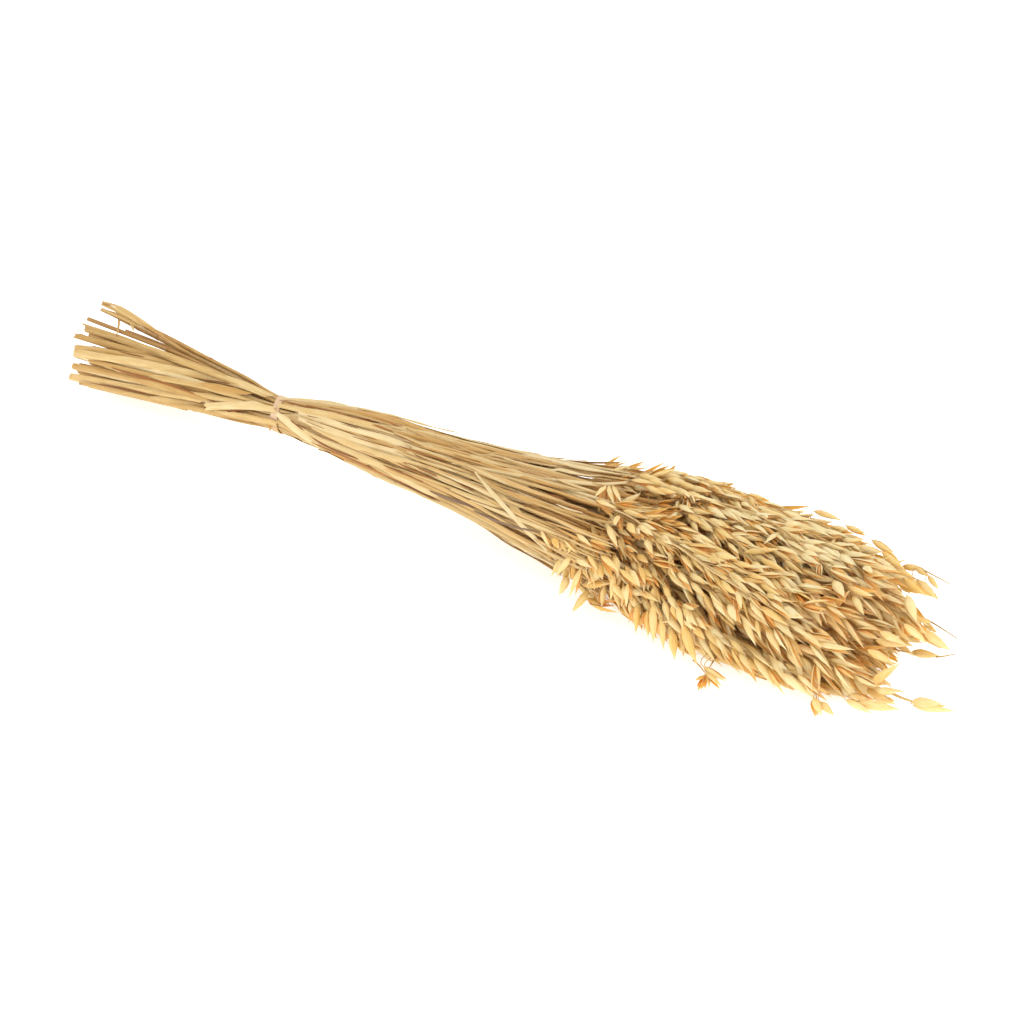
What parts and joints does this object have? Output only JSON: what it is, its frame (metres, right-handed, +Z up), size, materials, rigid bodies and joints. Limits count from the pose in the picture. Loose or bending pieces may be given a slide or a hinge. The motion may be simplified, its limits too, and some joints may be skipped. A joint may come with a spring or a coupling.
{
  "type": "bundle of dried oats",
  "caption": "Bundle of dried oat stalks lying down: cut stems fanned at one end, a flat rubber band round the waist, dense closed seed heads at the other end.",
  "frame": {"origin": "middle of the bundle's footprint, on the surface it lies on", "axes": "+X along the bundle from the cut ends to the seed heads, +Z up"},
  "size_m": [0.6986, 0.1418, 0.0836],
  "materials": {
    "oat_straw": "dry bleached oat straw and husks, satin, fine lengthwise veins",
    "dry_leaf": "papery dry leaf blade, matte, ribbed lengthwise",
    "band_rubber": "pale translucent rubber, satin"
  },
  "bodies": {
    "root": {"oat_stalk_01": "oat_straw", "oat_stalk_02": "oat_straw", "oat_stalk_03": "oat_straw", "oat_stalk_04": "oat_straw", "oat_stalk_05": "oat_straw", "oat_stalk_06": "oat_straw", "oat_stalk_07": "oat_straw", "oat_stalk_08": "oat_straw", "oat_stalk_09": "oat_straw", "oat_stalk_10": "oat_straw", "oat_stalk_11": "oat_straw", "oat_stalk_12": "oat_straw", "oat_stalk_13": "oat_straw", "oat_stalk_14": "oat_straw", "oat_stalk_15": "oat_straw", "oat_stalk_16": "oat_straw", "oat_stalk_17": "oat_straw", "oat_stalk_18": "oat_straw", "oat_stalk_19": "oat_straw", "oat_stalk_20": "oat_straw", "oat_stalk_21": "oat_straw", "oat_stalk_22": "oat_straw", "oat_stalk_23": "oat_straw", "oat_stalk_24": "oat_straw", "oat_stalk_25": "oat_straw", "oat_stalk_26": "oat_straw", "oat_stalk_27": "oat_straw", "oat_stalk_28": "oat_straw", "oat_stalk_29": "oat_straw", "oat_stalk_30": "oat_straw", "oat_stalk_31": "oat_straw", "oat_stalk_32": "oat_straw", "oat_stalk_33": "oat_straw", "oat_stalk_34": "oat_straw", "oat_stalk_35": "oat_straw", "oat_stalk_36": "oat_straw", "oat_stalk_37": "oat_straw", "oat_stalk_38": "oat_straw", "leaf_blade_01": "dry_leaf", "leaf_blade_02": "dry_leaf", "leaf_blade_03": "dry_leaf", "leaf_blade_04": "dry_leaf", "leaf_blade_05": "dry_leaf", "leaf_blade_06": "dry_leaf", "rubber_band": "band_rubber"}
  },
  "joints": []
}
